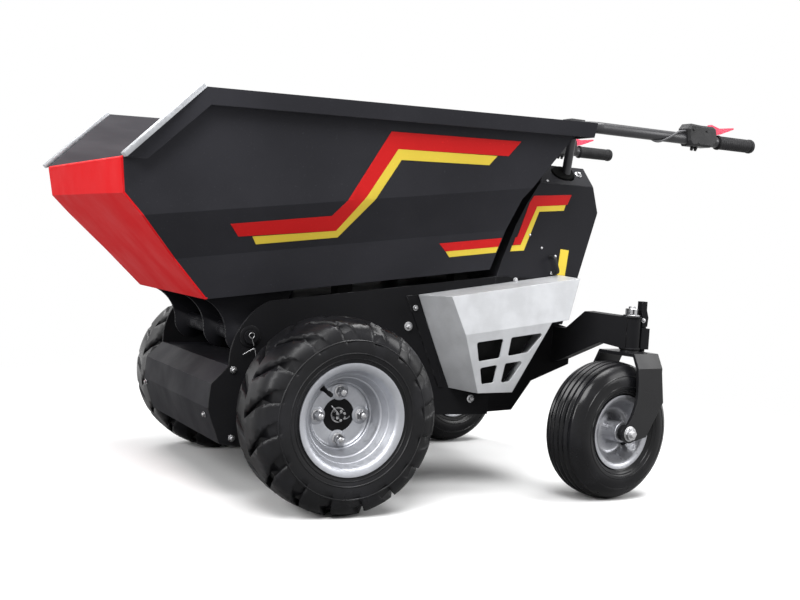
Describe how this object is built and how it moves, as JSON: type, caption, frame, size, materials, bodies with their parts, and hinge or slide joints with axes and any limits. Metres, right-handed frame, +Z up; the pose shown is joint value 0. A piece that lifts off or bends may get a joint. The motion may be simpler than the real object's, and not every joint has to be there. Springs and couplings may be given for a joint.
{
  "type": "walk-behind mini site dumper",
  "caption": "Walk-behind site dumper: front-tipping steel tub on a low chassis with lugged drive wheels, rear castors, console and handlebars.",
  "frame": {"origin": "centre of the bounding box in plan, on the floor under the wheels", "axes": "+X ahead towards the tub's pouring lip, +Y to the machine's left, +Z up"},
  "size_m": [1.647, 0.9525, 0.917],
  "materials": {
    "tub_paint": "satin",
    "nose_red": "satin",
    "chassis_paint": "satin",
    "console_paint": "satin",
    "block": "matte",
    "cover_silver": "satin",
    "tyre_rubber": "matte",
    "rim_silver": "gloss",
    "hub_metal": "satin",
    "zinc": "satin",
    "bar_paint": "satin",
    "black_plastic": "matte",
    "grip_rubber": "matte",
    "lever_red": "gloss"
  },
  "bodies": {
    "chassis": {"chassis_plate_left": "chassis_paint", "chassis_plate_right": "chassis_paint", "front_cover": "chassis_paint", "chassis_deck": "chassis_paint", "belly_pan": "chassis_paint", "rear_body": "chassis_paint", "rear_shelf": "chassis_paint", "castor_arm_left": "chassis_paint", "castor_arm_right": "chassis_paint", "drive_axle": "chassis_paint", "console_shell": "console_paint", "console_lid": "console_paint", "power_block": "block", "side_cover_left": "cover_silver", "side_cover_right": "cover_silver", "tub_pivot_shaft": "bar_paint", "swivel_locks": "bar_paint", "handlebar_posts": "bar_paint", "handlebar": "bar_paint", "control_left": "black_plastic", "control_right": "black_plastic", "control_cables": "black_plastic", "pull_handle": "black_plastic", "grip_left": "grip_rubber", "grip_right": "grip_rubber", "tub_rests": "grip_rubber", "lever_left": "lever_red", "lever_right": "lever_red"},
    "tub": {"tub_shell": "tub_paint", "tub_nose": "nose_red", "tub_ribs": "tub_paint"},
    "drive_wheel_left": {"drive_tyre_left": "tyre_rubber", "drive_rim_left": "rim_silver", "drive_hub_left": "hub_metal"},
    "drive_wheel_right": {"drive_tyre_right": "tyre_rubber", "drive_rim_right": "rim_silver", "drive_hub_right": "hub_metal"},
    "castor_fork_left": {"castor_fork_left": "chassis_paint", "castor_axle_left": "zinc"},
    "castor_fork_right": {"castor_fork_right": "chassis_paint", "castor_axle_right": "zinc"},
    "castor_wheel_left": {"castor_tyre_left": "tyre_rubber", "castor_rim_left": "rim_silver"},
    "castor_wheel_right": {"castor_tyre_right": "tyre_rubber", "castor_rim_right": "rim_silver"}
  },
  "joints": [
    {"name": "tub_tip", "type": "hinge", "parent": "chassis", "child": "tub", "pos_m": [0.504, 0, 0.352], "axis": [0, 1, 0], "range_deg": [0, 75]},
    {"name": "drive_wheel_left_spin", "type": "hinge", "parent": "chassis", "child": "drive_wheel_left", "pos_m": [0.354, 0.389, 0.205], "axis": [0, 1, 0], "continuous": true},
    {"name": "castor_left_swivel", "type": "hinge", "parent": "chassis", "child": "castor_fork_left", "pos_m": [-0.404, 0.385, 0.346], "axis": [0, 0, 1], "continuous": true},
    {"name": "castor_wheel_left_spin", "type": "hinge", "parent": "castor_fork_left", "child": "castor_wheel_left", "pos_m": [-0.34656, 0.39307, 0.162], "axis": [-0.1392, 0.9903, 0], "continuous": true},
    {"name": "drive_wheel_right_spin", "type": "hinge", "parent": "chassis", "child": "drive_wheel_right", "pos_m": [0.354, -0.389, 0.205], "axis": [0, 1, 0], "continuous": true},
    {"name": "castor_right_swivel", "type": "hinge", "parent": "chassis", "child": "castor_fork_right", "pos_m": [-0.404, -0.385, 0.346], "axis": [0, 0, 1], "continuous": true},
    {"name": "castor_wheel_right_spin", "type": "hinge", "parent": "castor_fork_right", "child": "castor_wheel_right", "pos_m": [-0.34656, -0.37693, 0.162], "axis": [-0.1392, 0.9903, 0], "continuous": true}
  ]
}
